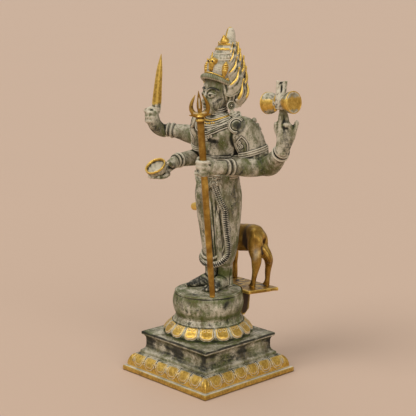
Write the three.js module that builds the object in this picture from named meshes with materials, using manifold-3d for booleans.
// Standing four-armed temple figure in cast brass, on a round lotus pedestal and a stepped square plinth,
// with a loose trident and a dog on its own bracket behind. Millimetres, +Z up, front along -Y.
// The origin is the centre of the plinth's underside.
import * as THREE from 'three';
import { mergeVertices } from 'three/addons/utils/BufferGeometryUtils.js';
import Module from 'manifold-3d';

const wasm = await Module();
wasm.setup();

// Square plinth
const baseSide = 216;
const plinthHeight = 72;
const bottomPlateHeight = 9.2;
const ovoloInset = 5.5;
const ovoloHeight = 22.5;
const filletSide = 171;
const filletTop = 38.5;
const dadoSide = 156;
const topPlateSide = 168;
const topPlateHeight = 5.5;

// Round lotus pedestal
const pedestalHeight = 78;
const discRadius = 59.5;
const cushionRadius = 62.4;
const neckRadius = 59;
const neckShare = 0.46;
const skirtRadius = 79;
const skirtShare = 0.36;
const lotusPetals = 16;
const petalNotch = 4;
const roundSides = 3 * lotusPetals;

// Figure: every position below is drawn for this height and scales with figureHeight
const figureHeight = 453;
const drawnHeight = 453;
const seatGap = 0.3;
// Degrees the hips and legs turn toward the figure's left
const hipTurn = 26;

const shortestEdge = 1.6;

// Trident
const rodFootRadius = 5;
const rodTopRadius = 6.2;
const tridentFootInset = 5;
const tridentFootGap = 0.8;
const tridentFootAngle = -35.4;
const tridentTurn = 47;
const prongSpan = 13.5;
const prongReach = 41;
const handGap = 0.5;

// Dog, its ledge and bracket
const dogHeight = 112;
const drawnDogHeight = 112;
const ledgeThickness = 6;
const ledgeDepth = 57;
const ledgeFrontHalf = 60;
const ledgeBackHalf = 77;
const bracketWidth = 44;
const bracketDrop = 50;
const castGap = 0.7;

const pedestalTop = plinthHeight + pedestalHeight;
const scale = figureHeight / drawnHeight;
const degree = Math.PI / 180;

// Closed solid from a geometry: shared corners merged, faces turned outward.
function toSolid(geometry) {
  const bare = geometry.clone();
  bare.deleteAttribute('normal');
  bare.deleteAttribute('uv');
  const merged = mergeVertices(bare, 1e-4);
  const corners = merged.attributes.position;
  const order = Array.from(merged.index.array);
  const kept = [];
  let volume = 0;
  const a = new THREE.Vector3();
  const b = new THREE.Vector3();
  const c = new THREE.Vector3();
  for (let i = 0; i < order.length; i += 3) {
    const [p, q, r] = [order[i], order[i + 1], order[i + 2]];
    if (p === q || q === r || r === p) continue;
    a.fromBufferAttribute(corners, p);
    b.fromBufferAttribute(corners, q);
    c.fromBufferAttribute(corners, r);
    volume += a.dot(b.cross(c));
    kept.push(p, q, r);
  }
  if (volume < 0) kept.reverse();
  return new wasm.Manifold(new wasm.Mesh({
    numProp: 3,
    vertProperties: new Float32Array(corners.array),
    triVerts: new Uint32Array(kept),
  }));
}

// Geometry from a solid.
function toGeometry(solid) {
  const mesh = solid.getMesh();
  const geometry = new THREE.BufferGeometry();
  geometry.setAttribute('position', new THREE.BufferAttribute(new Float32Array(mesh.vertProperties), 3));
  geometry.setIndex(new THREE.BufferAttribute(new Uint32Array(mesh.triVerts), 1));
  geometry.computeVertexNormals();
  return geometry;
}

// Joins a list of geometries into one solid.
function join(geometries) {
  let solid = toSolid(geometries[0]);
  for (const geometry of geometries.slice(1)) solid = solid.add(toSolid(geometry));
  return withoutSlivers(solid);
}

// Draws corners closer than shortestEdge together, wherever the surface stays closed and no facet turns over.
function withoutSlivers(solid) {
  const mesh = solid.getMesh();
  const points = [];
  const around = [];
  for (let i = 0; i < mesh.vertProperties.length; i += mesh.numProp) {
    points.push(new THREE.Vector3().fromArray(mesh.vertProperties, i));
    around.push(new Set());
  }
  const facets = [];
  for (let i = 0; i < mesh.triVerts.length; i += 3) {
    const facet = Array.from(mesh.triVerts.subarray(i, i + 3));
    facet.forEach((corner) => around[corner].add(facet));
    facets.push(facet);
  }
  const normal = ([p, q, r]) => points[q].clone().sub(points[p]).cross(points[r].clone().sub(points[p]));
  const neighbours = (corner) => new Set([...around[corner]].flat().filter((other) => other !== corner));
  const joins = (keep, drop) => {
    const near = neighbours(keep);
    if (!near.has(drop) || [...neighbours(drop)].filter((other) => near.has(other)).length !== 2) return false;
    return [...around[drop]].filter((facet) => !facet.includes(keep)).every((facet) => {
      const before = normal(facet);
      const after = normal(facet.map((corner) => (corner === drop ? keep : corner)));
      return after.lengthSq() > 1e-6 && after.dot(before) > 0.5 * after.length() * before.length();
    });
  };
  const edges = facets.flatMap(([p, q, r]) => [[p, q], [q, r], [r, p]]);
  const size = ([p, q]) => points[p].distanceTo(points[q]);
  const short = edges.filter((edge) => size(edge) < shortestEdge).sort((one, two) => size(one) - size(two));
  for (const [keep, drop] of short) {
    if (!joins(keep, drop)) continue;
    for (const facet of around[drop]) {
      if (facet.includes(keep)) {
        facet.forEach((corner) => around[corner].delete(facet));
        facet.length = 0;
      } else {
        facet[facet.indexOf(drop)] = keep;
        around[keep].add(facet);
      }
    }
    around[drop].clear();
  }
  const geometry = new THREE.BufferGeometry().setFromPoints(points);
  geometry.setIndex(facets.flat());
  return toSolid(geometry);
}

// Skin over a row of rings that all have the same number of points, closed at both ends.
function skin(rings) {
  const count = rings[0].length;
  const points = [];
  for (const ring of rings) for (const p of ring) points.push(p.x, p.y, p.z);
  const index = [];
  for (let i = 0; i + 1 < rings.length; i++) {
    for (let j = 0; j < count; j++) {
      const next = (j + 1) % count;
      const low = i * count;
      const high = low + count;
      index.push(low + j, low + next, high + next, low + j, high + next, high + j);
    }
  }
  const cap = (ring, base, flip) => {
    const middle = points.length / 3;
    const sum = ring.reduce((total, p) => total.add(p), new THREE.Vector3()).divideScalar(count);
    points.push(sum.x, sum.y, sum.z);
    for (let j = 0; j < count; j++) {
      const next = (j + 1) % count;
      index.push(middle, base + (flip ? next : j), base + (flip ? j : next));
    }
  };
  cap(rings[0], 0, true);
  cap(rings[rings.length - 1], (rings.length - 1) * count, false);
  const geometry = new THREE.BufferGeometry();
  geometry.setAttribute('position', new THREE.Float32BufferAttribute(points, 3));
  geometry.setIndex(index);
  return geometry;
}

// Oval ring of points round a centre, in the plane of two half-axes.
function oval(centre, halfA, halfB, sides) {
  const ring = [];
  for (let j = 0; j < sides; j++) {
    const turn = (2 * Math.PI * j) / sides;
    ring.push(centre.clone().addScaledVector(halfA, Math.cos(turn)).addScaledVector(halfB, Math.sin(turn)));
  }
  return ring;
}

// Limb: stations are x, y, z, half-width along `across`, half-width the other way. Ends may be domed.
function limb(stations, { sides = 8, across = [1, 0, 0], startDome = 0, endDome = 0 } = {}) {
  const centres = stations.map(([x, y, z]) => new THREE.Vector3(x, y, z));
  const wide = new THREE.Vector3(...across);
  const rings = [];
  const last = stations.length - 1;
  for (let i = 0; i <= last; i++) {
    const ahead = centres[Math.min(i + 1, last)];
    const behind = centres[Math.max(i - 1, 0)];
    const along = ahead.clone().sub(behind).normalize();
    const u = wide.clone().addScaledVector(along, -wide.dot(along)).normalize();
    const v = along.clone().cross(u);
    const [, , , rA, rB = rA] = stations[i];
    const ring = (share, shift) => oval(
      centres[i].clone().addScaledVector(along, shift),
      u.clone().multiplyScalar(rA * share), v.clone().multiplyScalar(rB * share), sides);
    if (i === 0 && startDome) rings.push(ring(0.5, -startDome));
    rings.push(ring(1, 0));
    if (i === last && endDome) rings.push(ring(0.5, endDome));
  }
  return skin(rings);
}

// Level rings stacked upward: rows are height, centre x, centre y, half-width, half-depth.
function stack(rows, sides) {
  return skin(rows.map(([z, x, y, a, b]) => oval(
    new THREE.Vector3(x, y, z), new THREE.Vector3(a, 0, 0), new THREE.Vector3(0, b, 0), sides)));
}

// Ball stretched along the three axes.
function ball(x, y, z, a, b = a, c = a, sides = 8) {
  const geometry = new THREE.SphereGeometry(1, sides, Math.max(4, sides - 2));
  return geometry.rotateX(Math.PI / 2).scale(a, b, c).translate(x, y, z);
}

// Turned shape about Z, from radius and height pairs that start and end on the axis.
function turned(profile, segments) {
  const points = profile.map(([r, z]) => new THREE.Vector2(r, z));
  return new THREE.LatheGeometry(points, segments).rotateX(Math.PI / 2);
}

// Moves a shape made about Z so that Z points along a direction, at a place.
function aim(geometry, direction, place, spin = 0) {
  const turn = new THREE.Quaternion().setFromUnitVectors(
    new THREE.Vector3(0, 0, 1), new THREE.Vector3(...direction).normalize());
  return geometry.rotateZ(spin).applyQuaternion(turn).translate(...place);
}

// Stations of a raised band on a limb, from its middle, the limb's direction there and the two half-widths.
function band([x, y, z], direction, halfA, halfB, width, proud) {
  const way = new THREE.Vector3(...direction).normalize();
  const at = (shift, more) => [x + way.x * shift, y + way.y * shift, z + way.z * shift, halfA + more, halfB + more];
  return [at(-width / 2, 0), at(-width / 2 + 0.6, proud), at(width / 2 - 0.6, proud), at(width / 2, 0)];
}

// Row of fingers or toes side by side as one ridged bar: stations are x, y, z, half the row's width and half
// the thickness. `row` is the direction from finger to finger, `out` points at their backs.
function fingerRow(stations, { row, out, count, tip = 2 }) {
  const centres = stations.map(([x, y, z]) => new THREE.Vector3(x, y, z));
  const beside = new THREE.Vector3(...row).normalize();
  const last = stations.length - 1;
  let side = 0;
  const rings = stations.map(([, , , wide, thick], i) => {
    const along = centres[Math.min(i + 1, last)].clone().sub(centres[Math.max(i - 1, 0)]).normalize();
    const back = along.clone().cross(beside).normalize();
    side = side || Math.sign(back.dot(new THREE.Vector3(...out)));
    const point = (u, v, ahead) => centres[i].clone().addScaledVector(beside, u * wide)
      .addScaledVector(back, side * v * thick).addScaledVector(along, i === last ? ahead : 0);
    const ring = [point(-0.9, -0.7, 0), point(-1, 0.3, 0)];
    for (let f = 0; f < count; f++) {
      ring.push(point((2 * f + 1) / count - 1, 1, tip));
      if (f + 1 < count) ring.push(point((2 * f + 2) / count - 1, 0.35, -tip));
    }
    ring.push(point(1, 0.3, 0), point(0.9, -0.7, 0));
    return ring;
  });
  return skin(rings);
}

// Square plinth: one moulded profile carried round four sides.
function squareBase() {
  const half = baseSide / 2;
  const ovoloHalf = half - ovoloInset;
  const filletHalf = filletSide / 2;
  const dadoHalf = dadoSide / 2;
  const topHalf = topPlateSide / 2;
  const edge = 1.2;
  const profile = [[0, 0], [half - edge, 0], [half, edge], [half, bottomPlateHeight - edge]];
  profile.push([half - edge, bottomPlateHeight]);
  const steps = 5;
  for (let i = 0; i <= steps; i++) {
    const turn = (Math.PI / 2) * (i / steps);
    profile.push([
      filletHalf + 0.8 + (ovoloHalf - filletHalf - 0.8) * Math.cos(turn),
      bottomPlateHeight + 1.5 + ovoloHeight * Math.sin(turn),
    ]);
  }
  profile.push([filletHalf, bottomPlateHeight + ovoloHeight + 2.5], [filletHalf, filletTop]);
  profile.push([dadoHalf + 2, filletTop + 4], [dadoHalf, filletTop + 10]);
  const topUnder = plinthHeight - topPlateHeight;
  profile.push([dadoHalf, topUnder - 8], [dadoHalf + 1.6, topUnder - 3.5], [topHalf - 1.5, topUnder]);
  profile.push([topHalf, topUnder + edge], [topHalf, plinthHeight - edge / 2]);
  profile.push([topHalf - edge / 2, plinthHeight], [0, plinthHeight]);
  const points = profile.map(([r, z]) => new THREE.Vector2(r * Math.SQRT2, z));
  return toSolid(new THREE.LatheGeometry(points, 4, Math.PI / 4).rotateX(Math.PI / 2));
}

// Outline of the round pedestal from its foot up: radius, height, and how deep the notches between petals are.
function pedestalRows() {
  const skirtTop = pedestalHeight * skirtShare;
  const neck = pedestalHeight * neckShare;
  const flare = skirtRadius - neckRadius;
  return [
    [skirtRadius, 0, 1], [skirtRadius, skirtTop * 0.2, 1], [skirtRadius - flare * 0.07, skirtTop * 0.38, 0.45],
    [skirtRadius - flare * 0.5, skirtTop * 0.66, -0.25], [neckRadius, skirtTop + 2, 0], [neckRadius, neck, 0],
    [neckRadius + (cushionRadius - neckRadius) * 0.75, neck + pedestalHeight * 0.07, 0],
    [cushionRadius, neck + pedestalHeight * 0.25, 0], [cushionRadius - 0.9, pedestalHeight * 0.8, 0],
    [discRadius, pedestalHeight * 0.96, 0], [discRadius - 0.4, pedestalHeight, 0],
  ];
}

// Round pedestal: flat disc, cushion, neck and a skirt of lotus petals that droop outward.
function lotusPedestal() {
  const rings = pedestalRows().map(([r, z, depth]) => {
    const ring = [];
    for (let j = 0; j < roundSides; j++) {
      const turn = (2 * Math.PI * (j + 0.5)) / roundSides;
      const valley = (1 - Math.cos(lotusPetals * turn)) / 2;
      const radius = r - depth * petalNotch * valley;
      ring.push(new THREE.Vector3(radius * Math.cos(turn), radius * Math.sin(turn), z));
    }
    return ring;
  });
  return toSolid(skin(rings).translate(0, 0, plinthHeight + seatGap));
}

// Lower body in its wrapped cloth: two legs side by side, pleats hanging between them.
function lowerBody() {
  const sides = 20;
  // height, left leg x, right leg x, y, half-width, half-depth, how much of the cleft the pleats fill, turn share
  const rows = [
    [38, 13, -14, 27, 9.4, 15, 0.5, 1], [58, 16, -14, 27, 14, 20, 0.8, 1], [80, 18.5, -14.5, 26, 16.6, 22.5, 0.9, 1],
    [102, 20, -15, 25, 18, 24.5, 0.92, 1], [124, 21.5, -16.5, 24, 19.4, 26.5, 0.94, 1],
    [150, 22, -17, 23, 21.1, 29.5, 0.96, 1], [170, 22, -17.5, 22, 21.5, 30, 1, 1],
    [186, 20, -16, 22, 20.9, 28.5, 1, 0.8], [202, 16, -12, 22, 23.3, 28, 1, 0.6],
  ];
  const rings = rows.map(([z, leftX, rightX, y, a, b, fill, share]) => {
    const centre = (leftX + rightX) / 2;
    const hips = hipTurn * share * degree;
    const ring = [];
    for (let j = 0; j < sides; j++) {
      const turn = (2 * Math.PI * j) / sides;
      const dx = Math.cos(turn);
      const dy = Math.sin(turn);
      let reach = Math.abs(dx) < 0.55 ? b * fill : 0;
      for (const legX of [leftX, rightX]) {
        const ox = (centre - legX) / a;
        const ux = dx / a;
        const uy = dy / b;
        const qa = ux * ux + uy * uy;
        const qb = ox * ux;
        const root = qb * qb - qa * (ox * ox - 1);
        if (root > 0) reach = Math.max(reach, (-qb + Math.sqrt(root)) / qa);
      }
      const pleat = dy < -0.5 && Math.abs(dx) < 0.6 && j % 2 === 0 ? 1.8 : 0;
      const offset = new THREE.Vector3(dx, dy, 0).multiplyScalar(reach + pleat);
      ring.push(offset.applyAxisAngle(new THREE.Vector3(0, 0, 1), hips).add(new THREE.Vector3(centre, y, z)));
    }
    return ring;
  });
  return skin(rings);
}

// Foot pointing along a heading, with five toes; soles go a little below zero and are cut flat later.
function foot(heelX, heelY, toeX, toeY, bigToeSide) {
  const ahead = new THREE.Vector3(toeX - heelX, toeY - heelY, 0);
  const length = ahead.length();
  ahead.normalize();
  const side = new THREE.Vector3(-ahead.y, ahead.x, 0);
  const across = [side.x, side.y, 0];
  const at = (share, z, a, b) => [heelX + ahead.x * length * share, heelY + ahead.y * length * share, z, a, b];
  const slant = side.clone().multiplyScalar(bigToeSide).addScaledVector(ahead, 0.28);
  const toes = fingerRow([at(0.7, 5, 14.5, 7), at(0.96, 3.5, 14.5, 5), at(1.12, 2.5, 14.5, 3.2)], {
    row: [slant.x, slant.y, 0], out: [0, 0, 1], count: 5, tip: 2.2 });
  return [limb([
    at(0.02, 9, 9, 11), at(0.3, 12, 12, 13), at(0.6, 8, 13.5, 10), at(0.9, 4, 14.5, 5),
  ], { across, sides: 6 }), toes];
}

// Finger or any small bent bar through a few points, one radius at each end.
function finger(points, startRadius, endRadius, sides = 4) {
  const last = points.length - 1;
  const rows = points.map((p, i) => [...p, startRadius + ((endRadius - startRadius) * i) / last]);
  const along = new THREE.Vector3(...points[last]).sub(new THREE.Vector3(...points[0]));
  const across = Math.abs(along.z) > along.length() * 0.8 ? [1, 0, 0] : [0, 0, 1];
  return limb(rows, { sides, across, endDome: endRadius * 0.6 });
}

// Trunk, neck and head with its rolled head band, earrings and drops.
function trunkAndHead() {
  const pieces = [stack([
    [194, 2, 22, 32, 22], [204, 3, 22, 40.5, 28], [219, 3, 22, 37, 25.5], [232, 3, 22, 37.5, 24.5],
    [250, 2.5, 21, 41, 26], [268, 2, 20, 43.5, 28], [284, 1, 20, 48, 26.5], [296, 0.5, 22, 43, 21],
    [305, 0, 24, 25, 16], [311, 0, 24, 16, 15.5], [326, -1, 22, 15, 15.5],
  ], 12)];
  pieces.push(stack([
    [308, -4, 13, 7, 9], [313, -4, 14, 12, 15], [322, -3, 17, 18, 20], [336, -1, 20, 22, 23.5],
    [352, -1, 22, 23, 24.5], [372, 0, 27, 20, 22],
  ], 10));
  pieces.push(finger([[-6, -1.5, 350], [-7.5, -5.5, 338], [-8, -7, 332]], 2.6, 3.8));
  const points = [];
  const steps = 10;
  for (let i = 0; i < steps; i++) {
    const turn = (2 * Math.PI * i) / steps;
    points.push(new THREE.Vector3(24 * Math.cos(turn), 23.5 + 26 * Math.sin(turn), 359.5 - 13 * Math.sin(turn)));
  }
  const roll = [];
  const facets = 4;
  for (let i = 0; i < facets; i++) {
    const turn = (2 * Math.PI * i) / facets;
    roll.push(new THREE.Vector2(5.6 * Math.cos(turn), 4.8 * Math.sin(turn)));
  }
  const loop = new THREE.CatmullRomCurve3(points, true);
  pieces.push(new THREE.ExtrudeGeometry(new THREE.Shape(roll), { extrudePath: loop, steps }));
  for (const side of [1, -1]) {
    pieces.push(aim(turned([[0, -4], [6, -4], [6.4, 1], [0, 2.6]], 8), [side, -0.2, 0], [side * 26.5, 27, 323]));
    pieces.push(ball(side * 26.5, 30, 313, 4, 4, 6, 4));
  }
  return pieces;
}

// One tier of leaf-shaped locks round the crown, between two angles: pointed, with webs between them.
function lockTier(count, ringY, reach, footZ, tipZ, first, last) {
  const rise = tipZ - footZ;
  const columns = 2 * count;
  const rings = [];
  for (let j = 0; j <= columns; j++) {
    const angle = (first + ((last - first) * j) / columns) * degree;
    const lock = j % 2 === 1;
    const at = (share, up) => new THREE.Vector3(
      0.82 * reach * share * Math.cos(angle), ringY + reach * share * Math.sin(angle), footZ + rise * up);
    rings.push([at(0.3, 0.3), at(0.7, 0), at(lock ? 0.97 : 0.78, 0.36), at(lock ? 1 : 0.72, lock ? 1 : 0.56)]);
  }
  return skin(rings);
}

// Tall piled crown leaning back, with flame locks at its sides and back and ornaments on its front.
function crown() {
  const pieces = [stack([
    [364, 0, 30, 21, 21], [378, 0, 28.5, 23.4, 23.6], [390, 0, 29, 22.6, 22.6], [399, 0, 31.5, 21, 21],
    [402, 0, 33, 22, 22], [409, 0, 37, 18.5, 18.5], [418, 0.5, 41.5, 16.8, 16.8], [426, 1, 45, 12.6, 12.6],
    [446, 2, 50, 5.6, 5.6], [453, 2, 50, 1.2, 1.2],
  ], 10)];
  pieces.push(
    lockTier(6, 30, 50, 322, 367, -16, 196), lockTier(5, 33, 45.5, 350, 386, -10, 190),
    lockTier(5, 37, 37.6, 371, 404, -12, 192), lockTier(4, 41, 28, 390, 416, -14, 194),
    lockTier(3, 44, 21.7, 404, 427, -14, 194));
  // Skull with a horn at the front, a bud at each side of it, a knob above the bands.
  pieces.push(ball(-4, 5, 394, 6.5, 5, 6, 6));
  pieces.push(finger([[-7, 6, 396], [-11, 4, 399]], 2.2, 1), finger([[-3, 8, 396], [-3, 12, 410]], 2, 0.9));
  for (const side of [1, -1]) {
    pieces.push(aim(turned([[0, -19], [5.6, -4], [3.6, 6], [0, 13]], 5), [side * 0.05, 0.2, 1], [side * 21, 17, 384]));
  }
  pieces.push(ball(2, 32, 431, 6, 5, 5, 5));
  return pieces;
}

// Left arms: one broad shared upper arm, a front forearm to the rod and a back forearm raised with the drum.
function leftArms(rodAt) {
  const pair = [0.87, -0.5, 0];
  const pieces = [limb([
    [44, 24, 293, 13, 17], [51, 29, 286, 17, 23], [57, 36, 272, 17, 26],
    ...band([64, 45, 247], [0.3, 0.4, -0.86], 16.5, 25, 7, 2),
    [68, 50, 236, 17, 23], [75, 57, 220, 15, 17],
  ], { across: pair, sides: 8, startDome: 5, endDome: 6 })];
  pieces.push(limb([
    [77, 60, 220, 15, 16], [72, 36, 220, 15.5, 16.5], ...band([62, -8, 224], [-0.22, -0.97, 0.08], 12, 13, 10, 2),
    [58, -36, 226, 9, 13.5], [55, -57, 227, 7, 13],
  ], { sides: 8, startDome: 5, endDome: 4 }));
  const mid = rodAt(230);
  pieces.push(fingerRow([
    [mid.x + 7, mid.y - 3, 230, 11.5, 4.4], [mid.x + 4, mid.y - 11, 230, 11.5, 4.4],
    [mid.x - 7, mid.y - 10, 230, 11.5, 4.2], [mid.x - 8, mid.y + 2, 230, 11, 3.4],
  ], { row: rodWay.toArray(), out: [1, 0, 0], count: 3, tip: 1 }));
  const low = rodAt(217);
  pieces.push(finger([[low.x + 9, low.y + 2, 218], [low.x + 3, low.y - 10, 217], [low.x - 4, low.y - 19, 220]], 5.2, 3));
  const top = rodAt(240);
  pieces.push(finger([[top.x + 8, top.y + 18, 236], [top.x, top.y + 10, 241], [top.x - 8, top.y - 4, 243]], 5, 3.8));
  pieces.push(limb([
    [73, 58, 219, 16, 15], [92, 55, 223, 17.5, 17], [112, 49, 236, 16.5, 16],
    ...band([132, 41.5, 252], [0.75, -0.28, 0.6], 12.8, 12.8, 10, 2), [140, 38.5, 260, 11, 11],
  ], { across: [0, 0, 1], sides: 8, startDome: 5 }));
  // Open hand, fanned in the plane that faces half left, two fingers up to the drum, two curled.
  const fan = [0.69, 0.72, 0];
  pieces.push(limb([
    [137, 37, 250, 12, 10], [141, 38, 268, 13.5, 9], [144.5, 40, 284, 16.5, 8], [147, 42, 296, 17, 7.5],
  ], { across: fan, sides: 6 }));
  pieces.push(finger([[140, 33.5, 290], [140, 33, 330]], 8, 7), finger([[145, 39, 290], [142, 37, 330]], 7, 5));
  pieces.push(finger([[152, 47, 290], [155, 51, 300]], 6.4, 5.2));
  pieces.push(finger([[134, 32, 284], [132, 29, 298]], 5.4, 4.6));
  return pieces;
}

// Drum held up by the left back hand: two cups joined at a waist, with a strap that stands up.
function drum() {
  const half = 31;
  const cup = [[0, -half], [17, -half], [18.4, -half + 6], [7, -4]];
  const other = cup.slice().reverse().map(([r, z]) => [r, -z]);
  const pieces = [aim(turned([...cup, ...other], 10), [1, -0.02, 0.1], [138, 32.5, 335.5])];
  pieces.push(limb([
    [137, 31, 328, 8, 9], [138, 33, 352, 9, 6], [138.5, 34, 372.5, 10, 3.5],
  ], { across: [0.69, 0.72, 0], sides: 4 }));
  return pieces;
}

// Right arms: shared upper arm, a raised forearm with the sword and a lower forearm with the bowl.
function rightArms() {
  const pair = [-0.87, -0.5, 0];
  const pieces = [limb([
    [-44, 24, 291, 13, 17], [-51, 28, 284, 16.5, 22], [-57, 35, 270, 16.5, 25],
    ...band([-64, 45, 247], [-0.3, 0.4, -0.86], 16, 24, 7, 2),
    [-68, 50, 236, 16.5, 21], [-73, 56, 222, 14, 15],
  ], { across: pair, sides: 8, startDome: 5, endDome: 6 })];
  pieces.push(limb([
    [-64, 50, 250, 13, 14], [-82, 52, 254, 17, 16], [-102, 45, 260, 16, 16],
    ...band([-130, 30.5, 264.7], [-0.86, -0.5, 0.1], 12, 12.2, 10, 2), [-138, 25, 266, 10.5, 11],
  ], { across: [0, 0, 1], sides: 8, startDome: 4, endDome: 4 }));
  pieces.push(limb([
    [-136, 24, 261, 9, 11], [-142, 13, 267, 12, 12.5], [-144, 2, 279, 12.5, 12.5], [-144, -1, 293, 12, 12],
    [-143, 2, 303, 9, 8],
  ], { sides: 6, startDome: 3, endDome: 3 }));
  pieces.push(fingerRow([
    [-151, 9, 291, 12, 4.6], [-155, -2, 291, 12, 4.6], [-149, -10, 290.5, 12, 4.4], [-139, -9, 290, 12, 3.6],
  ], { row: [0, 0, 1], out: [-1, 0, 0], count: 3, tip: 1 }));
  pieces.push(finger([[-142, 6, 300], [-146, -6, 306], [-150, -15, 302]], 5.4, 3.4));
  // Sword: a long tapering blade with a middle ridge, rising from the fist.
  pieces.push(limb([
    [-142, 4, 298, 8.2, 3.8], [-142, 10, 345, 6.8, 3], [-142, 14.5, 378, 4.4, 2.2], [-142, 18.2, 401.5, 0.6, 0.6],
  ], { across: [0.69, 0.72, 0], sides: 4 }));
  pieces.push(limb([
    [-76, 60, 218, 13, 14], [-72, 36, 221, 14, 14.5],
    ...band([-64.5, -12, 222], [0.12, -0.99, -0.03], 11.8, 12, 9, 2), [-61, -26, 220, 10, 10],
  ], { sides: 8, startDome: 5, endDome: 4 }));
  return pieces;
}

// Bowl tipped forward on the fingers of the lower right hand.
function bowl() {
  const way = [0.07, -0.585, 0.81];
  const outer = [[0, -18], [9, -16.5], [15.5, -11], [19.2, -1], [19, 2]];
  const inner = [[16.4, 2], [14, -4], [0, -12]];
  const pieces = [aim(turned([...outer, ...inner], 12), way, [-56, -71, 219])];
  pieces.push(limb([[-61, -24, 220, 9, 11], [-59, -38, 214, 12, 8], [-57.5, -54, 205, 14, 7]], { sides: 6 }));
  pieces.push(fingerRow([
    [-57.5, -48, 205, 16, 6], [-56, -63, 200, 16.5, 5.4], [-55, -79, 200.5, 15, 4],
  ], { row: [1, 0, 0], out: [0, 0, -1], count: 4, tip: 2 }));
  pieces.push(finger([[-50, -36, 217], [-40, -48, 221], [-37, -58, 226]], 5, 4));
  return pieces;
}

// Clothes and ornaments that stand off the body: collar, medallions, belt, knot, sashes, hem, back drape.
function ornaments() {
  const flat = [1, 0, 0];
  const ring = (x, y, z, a, b, width, lean, sides) => limb([
    [x, y + lean * width / 2, z - width / 2, a, b], [x, y - lean * width / 2, z + width / 2, a, b]], { sides });
  const pieces = [ring(0, 21, 299, 29, 21, 8, 0.3, 10), ring(3, 22, 204, 41.5, 29, 9, 0, 10)];
  for (const side of [1, -1]) {
    pieces.push(aim(turned([[0, -5], [11.6, -4], [11.6, 1.6], [0, 2.6]], 8), [side * 0.62, -0.72, 0.3], [side * 53, 15, 292]));
    pieces.push(ball(side * 37, 31, 304, 9, 10, 8, 4), ball(side * 42, 35, 243, 8, 9, 14, 5));
    pieces.push(limb([
      [side * 57, 55, 294, 3, 3], [side * 60, 61, 285, 5, 6], [side * 61, 62, 279, 3.5, 4], [side * 63, 66, 272, 5, 6],
      [side * 63, 66, 266, 3.5, 4], [side * 65, 69, 259, 4, 5], [side * 65, 66, 252, 2, 2],
    ], { sides: 4, across: [1, 0, 0] }));
    pieces.push(limb([[side * 54, 14, 264, 8, 6], [side * 58, 17, 243, 5, 5]], { sides: 4, across: flat }));
  }
  // Rosette knot, border that swings from it over the left thigh and falls to the hem, fold beside the border.
  const slant = [0.9, -0.4, 0];
  pieces.push(aim(turned([[0, -5], [7.5, -4], [7.5, 1.5], [0, 3.4]], 6), [0.45, -0.88, 0.1], [19, -4, 190]));
  pieces.push(limb([
    [18, -4, 186, 4.8, 4], [28, 1, 162, 4.8, 4], [34, 7.5, 145, 5, 4], [33, 10.5, 123, 5, 4],
    [32.5, 15.5, 98, 5, 4], [30, 18, 68, 5.2, 5],
  ], { sides: 4, across: slant }));
  pieces.push(limb([[18, 4, 148, 2, 3], [20, 3.5, 122, 4, 4], [22, 6, 90, 4.5, 4.5], [20, 8, 56, 4.5, 5]], {
    sides: 4, across: slant }));
  // Rolled hem in front of both legs, sash loop over the right hip, point of the sash on the left.
  pieces.push(limb([
    [31, 22, 68, 4.6, 4], [27, 13, 53, 5.2, 5], [12, 3, 44, 5.4, 5.6], [-6, 0, 44, 5.6, 5.6],
    [-20, 3, 49, 5.6, 5.6], [-28, 13, 55, 5.4, 5], [-30, 27, 57, 4.6, 4],
  ], { sides: 5, across: [0, 0, 1] }));
  pieces.push(limb([[-28, -4, 203, 3, 4], [-14, -11, 190, 3, 4.4], [-1, -12, 181, 3, 4.4], [12, -8, 185, 3, 4]], {
    sides: 4, across: [0, 1, 0] }));
  pieces.push(limb([[36, 7, 203, 7, 4], [35, 6, 192, 7.4, 4.4], [34, 6.5, 181, 2.4, 3]], { sides: 4, across: [0.7, 0.7, 0] }));
  // Cloth that falls behind the feet to the pedestal.
  pieces.push(stack([
    [-1, -3, 41, 18, 11], [20, -2, 40, 17, 11.5], [42, 0, 37, 20, 14], [84, 3, 29, 30, 20],
  ], 8));
  return pieces;
}

// Where the rod runs: from its foot near the pedestal's rim, up through the closed left hand.
const footReach = discRadius - tridentFootInset;
const rodFoot = new THREE.Vector3(
  footReach * Math.cos(tridentFootAngle * degree), footReach * Math.sin(tridentFootAngle * degree),
  pedestalTop + tridentFootGap);
const gripDrawn = new THREE.Vector3(48, -55, 227);
const grip = gripDrawn.clone().multiplyScalar(scale).add(new THREE.Vector3(0, 0, pedestalTop));
const rodWay = grip.clone().sub(rodFoot).normalize();
const collarReach = (figureHeight * 0.682) / rodWay.z;

// Point of the rod at a height of the figure as drawn.
function rodPointDrawn(height) {
  const z = pedestalTop + height * scale;
  const place = rodFoot.clone().addScaledVector(rodWay, (z - rodFoot.z) / rodWay.z);
  place.z -= pedestalTop;
  return place.divideScalar(scale);
}

// Trident about Z: a rod that thickens upward, collar rings, a leaf-shaped middle prong and two curved prongs.
function trident() {
  const foot = rodFootRadius;
  const top = rodTopRadius;
  const c = collarReach;
  const pieces = [turned([
    [0, 0], [foot * 0.8, 0], [foot, 2], [top, c - 5], [top + 2.2, c - 2], [top - 0.4, c + 2],
    [top + 1.4, c + 5], [0, c + 9],
  ], 10)];
  for (const side of [1, -1]) {
    pieces.push(limb([
      [0, 0, c + 6, 4.4, 5], [side * prongSpan * 0.66, 0, c + 8.5, 4, 4.2], [side * prongSpan, 0, c + 15, 3.8, 3.8],
      [side * prongSpan, 0, c + 24, 3.2, 3.4], [side * prongSpan * 0.5, 0, c + prongReach - 1, 0.7, 0.7],
    ], { sides: 6, across: [0, 1, 0] }));
    pieces.push(finger([[side * 4, 0, c + 3.5], [side * 17.5, 0, c + 7]], 3.4, 1));
  }
  pieces.push(limb([
    [0, 0, c + 5, 3.4, 3.4], [0, 0, c + 20, 4.8, 3.2], [0, 0, c + 33, 3.2, 2.4], [0, 0, c + prongReach + 6, 0.6, 0.6],
  ], { sides: 6 }));
  return pieces;
}

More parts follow.
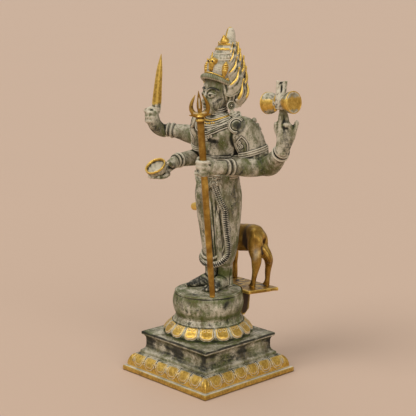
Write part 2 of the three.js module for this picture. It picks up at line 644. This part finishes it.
// Stands a shape made about Z on the rod's line.
function placeTrident(geometry) {
  return aim(geometry, rodWay.toArray(), rodFoot.toArray(), tridentTurn * degree);
}

// The whole figure in one solid, its soles cut flat and the hand bored for the rod.
function figure() {
  const pieces = [
    lowerBody(), ...trunkAndHead(), ...crown(), ...foot(-7, 29, -37, -7, 1), ...foot(4, 39, 16, -8, -1),
    limb([[-13, 20, 6, 11, 12], [-14, 20, 22, 10.5, 11], [-13, 21, 48, 12, 13]], { sides: 7 }),
    limb([[7, 30, 6, 11, 12], [8, 30, 22, 11, 12], [11, 32, 48, 12, 13]], { sides: 7 }),
    ...leftArms(rodPointDrawn), ...drum(), ...rightArms(), ...bowl(), ...ornaments(),
  ];
  for (const piece of pieces) piece.scale(scale, scale, scale).translate(0, 0, pedestalTop + seatGap);
  const under = new THREE.BoxGeometry(baseSide, baseSide, pedestalHeight);
  under.translate(0, 0, pedestalTop + seatGap - pedestalHeight / 2);
  const bore = turned([
    [0, -1], [rodFootRadius + handGap, -1], [rodTopRadius + handGap, collarReach], [0, collarReach],
  ], 10);
  return join(pieces).subtract(toSolid(under)).subtract(toSolid(placeTrident(bore)));
}

// Dog looking to the figure's right, on a ledge that hooks behind the pedestal.
function dog() {
  const k = dogHeight / drawnDogHeight;
  const floor = pedestalTop;
  const y = 79;
  const near = 65;
  const far = 92;
  const leg = (x, side, kneeX, hockX, thick) => limb([
    [kneeX, side < y ? side + 5 : side - 5, 76, thick + 7, thick + 1], [x + hockX, side, 48, thick, thick - 1.5],
    [x + hockX * 0.5, side, 26, 6, 5.4], [x, side, 8, 5.6, 5.6], [x - 2, side, 0, 8, 6.8],
  ], { sides: 6, startDome: 4 });
  const pieces = [limb([
    [56, y, 88, 14, 15], [44, y, 90, 17, 20], [24, y, 86, 16.5, 24], [0, y, 82, 15, 25], [-24, y, 82, 16, 26],
    [-44, y, 88, 15, 22], [-54, y, 94, 11, 15],
  ], { across: [0, 1, 0], sides: 8, startDome: 6, endDome: 4 })];
  pieces.push(limb([
    [-40, y, 96, 12, 15], [-58, y - 1, 110, 10, 13], [-74, y - 3, 122, 9, 11], [-86, y - 4, 127, 10, 12],
    [-100, y - 5, 125, 8.5, 9], [-120, y - 7, 119, 5.5, 5.5],
  ], { across: [0, 1, 0], sides: 8, endDome: 3 }));
  for (const side of [1, -1]) {
    pieces.push(finger([[-80, y - 4 + side * 6, 132], [-73, y - 4 + side * 11, 139]], 4, 2.4));
  }
  pieces.push(leg(46, near, 46, 8, 10), leg(56, far, 43, 5, 10), leg(-32, near, -36, -1, 8), leg(-27, far, -36, -1, 8));
  pieces.push(limb([
    [52, y, 100, 5, 5], [59, y - 1, 84, 4.8, 4.8], [65, y - 1, 71, 5, 5],
    [67.5, y, 60, 5.4, 5.4], [65, y, 50, 4.6, 4.6], [58, y - 1, 47, 3, 3],
  ], { across: [0, 1, 0], sides: 5 }));
  for (const piece of pieces) {
    piece.translate(0, -y, 0).scale(k, k, k).translate(0, y, floor - 1);
  }
  // Ledge: a plate wider at the back, and a tapering bracket below it.
  const front = 41;
  const back = front + ledgeDepth;
  const outline = new THREE.Shape([
    new THREE.Vector2(-ledgeFrontHalf, front), new THREE.Vector2(ledgeFrontHalf, front),
    new THREE.Vector2(ledgeBackHalf, back), new THREE.Vector2(-ledgeBackHalf, back),
  ]);
  const plate = new THREE.ExtrudeGeometry(outline, { depth: ledgeThickness, bevelEnabled: false });
  pieces.push(plate.translate(0, 0, floor - ledgeThickness));
  const reach = back - 13;
  const side = new THREE.Shape([
    new THREE.Vector2(front, 1), new THREE.Vector2(reach, 1), new THREE.Vector2(reach - 4, -bracketDrop * 0.8),
    new THREE.Vector2(reach - 16, -bracketDrop), new THREE.Vector2(front, -bracketDrop),
  ]);
  const web = new THREE.ExtrudeGeometry(side, { depth: bracketWidth, bevelEnabled: false });
  web.applyMatrix4(new THREE.Matrix4().set(0, 0, 1, 0, 1, 0, 0, 0, 0, 1, 0, 0, 0, 0, 0, 1));
  pieces.push(web.translate(-bracketWidth / 2, 0, floor - ledgeThickness));
  // Both fit round the pedestal with a thin gap.
  const rows = pedestalRows().map(([r, z, depth]) => [r + Math.max(0, -depth) * petalNotch + castGap, z]);
  const room = turned([[0, 0], ...rows, [discRadius, pedestalHeight + 1], [0, pedestalHeight + 1]], roundSides);
  return join(pieces).subtract(toSolid(room.translate(0, 0, plinthHeight + seatGap)));
}

const colours = { stone: 0x8f8a76, gold: 0xb08a3c, patina: 0x7d7c68 };
const parts = [
  ['square_base', squareBase(), colours.stone],
  ['lotus_pedestal', lotusPedestal(), colours.stone],
  ['figure', figure(), colours.patina],
  ['trident', join(trident().map(placeTrident)), colours.gold],
  ['dog', dog(), colours.gold],
];

const group = new THREE.Group();
for (const [name, solid, colour] of parts) {
  const material = new THREE.MeshStandardMaterial({ color: colour, roughness: 0.55, metalness: 0.8 });
  const mesh = new THREE.Mesh(toGeometry(solid), material);
  mesh.name = name;
  group.add(mesh);
}

export default group;
